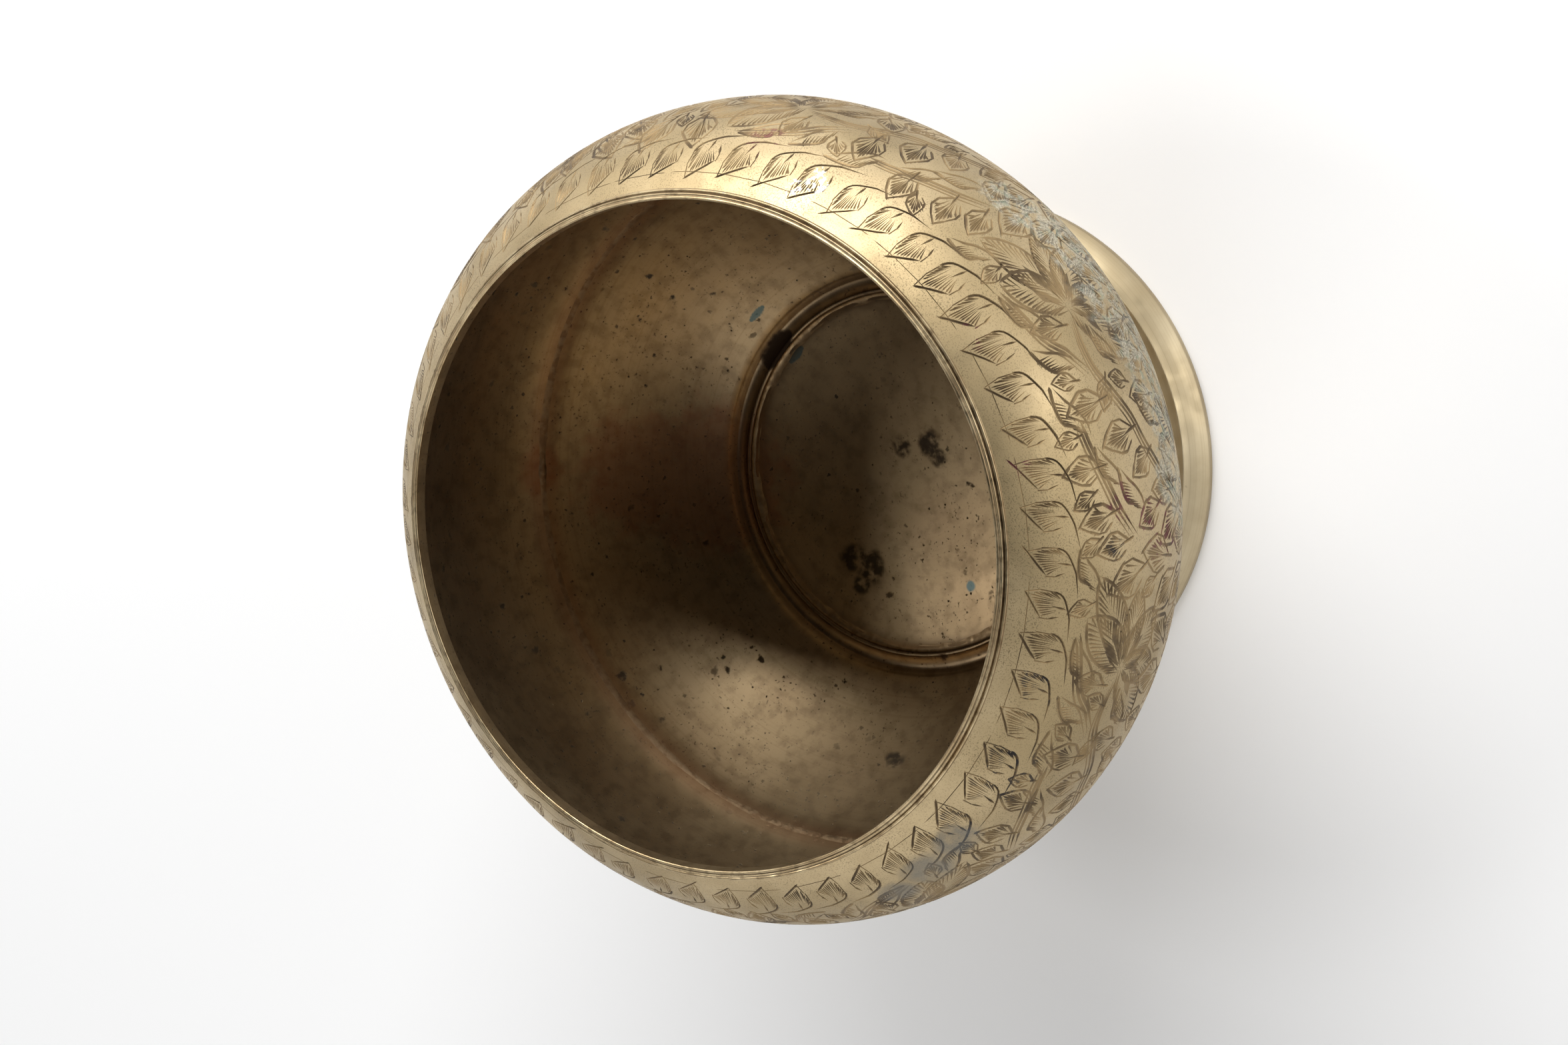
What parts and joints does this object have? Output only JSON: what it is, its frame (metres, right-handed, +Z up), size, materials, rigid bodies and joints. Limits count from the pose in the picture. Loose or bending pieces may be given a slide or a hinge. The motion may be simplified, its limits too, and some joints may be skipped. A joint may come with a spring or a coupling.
{
  "type": "lota water pot",
  "caption": "Engraved brass water pot: round belly of two brazed shells, wide turned mouth, dished floor disc and a flared hollow foot.",
  "frame": {"origin": "centre of the foot's resting rim, on the table", "axes": "+Z up along the pot's axis of revolution, towards the mouth"},
  "size_m": [0.127, 0.127, 0.091],
  "materials": {
    "shoulder_brass": "satin, hand engraved outside, aged",
    "bowl_brass": "satin, hand engraved outside, aged",
    "floor_brass": "satin, spotted",
    "foot_brass": "satin, turned",
    "seam_spelter": "dull braze metal",
    "floor_spelter": "dull braze metal",
    "foot_spelter": "dull braze metal"
  },
  "bodies": {
    "root": {"shoulder_shell": "shoulder_brass", "bowl_shell": "bowl_brass", "floor_disc": "floor_brass", "foot_ring": "foot_brass", "seam_braze": "seam_spelter", "floor_braze": "floor_spelter", "foot_braze": "foot_spelter"}
  },
  "joints": []
}
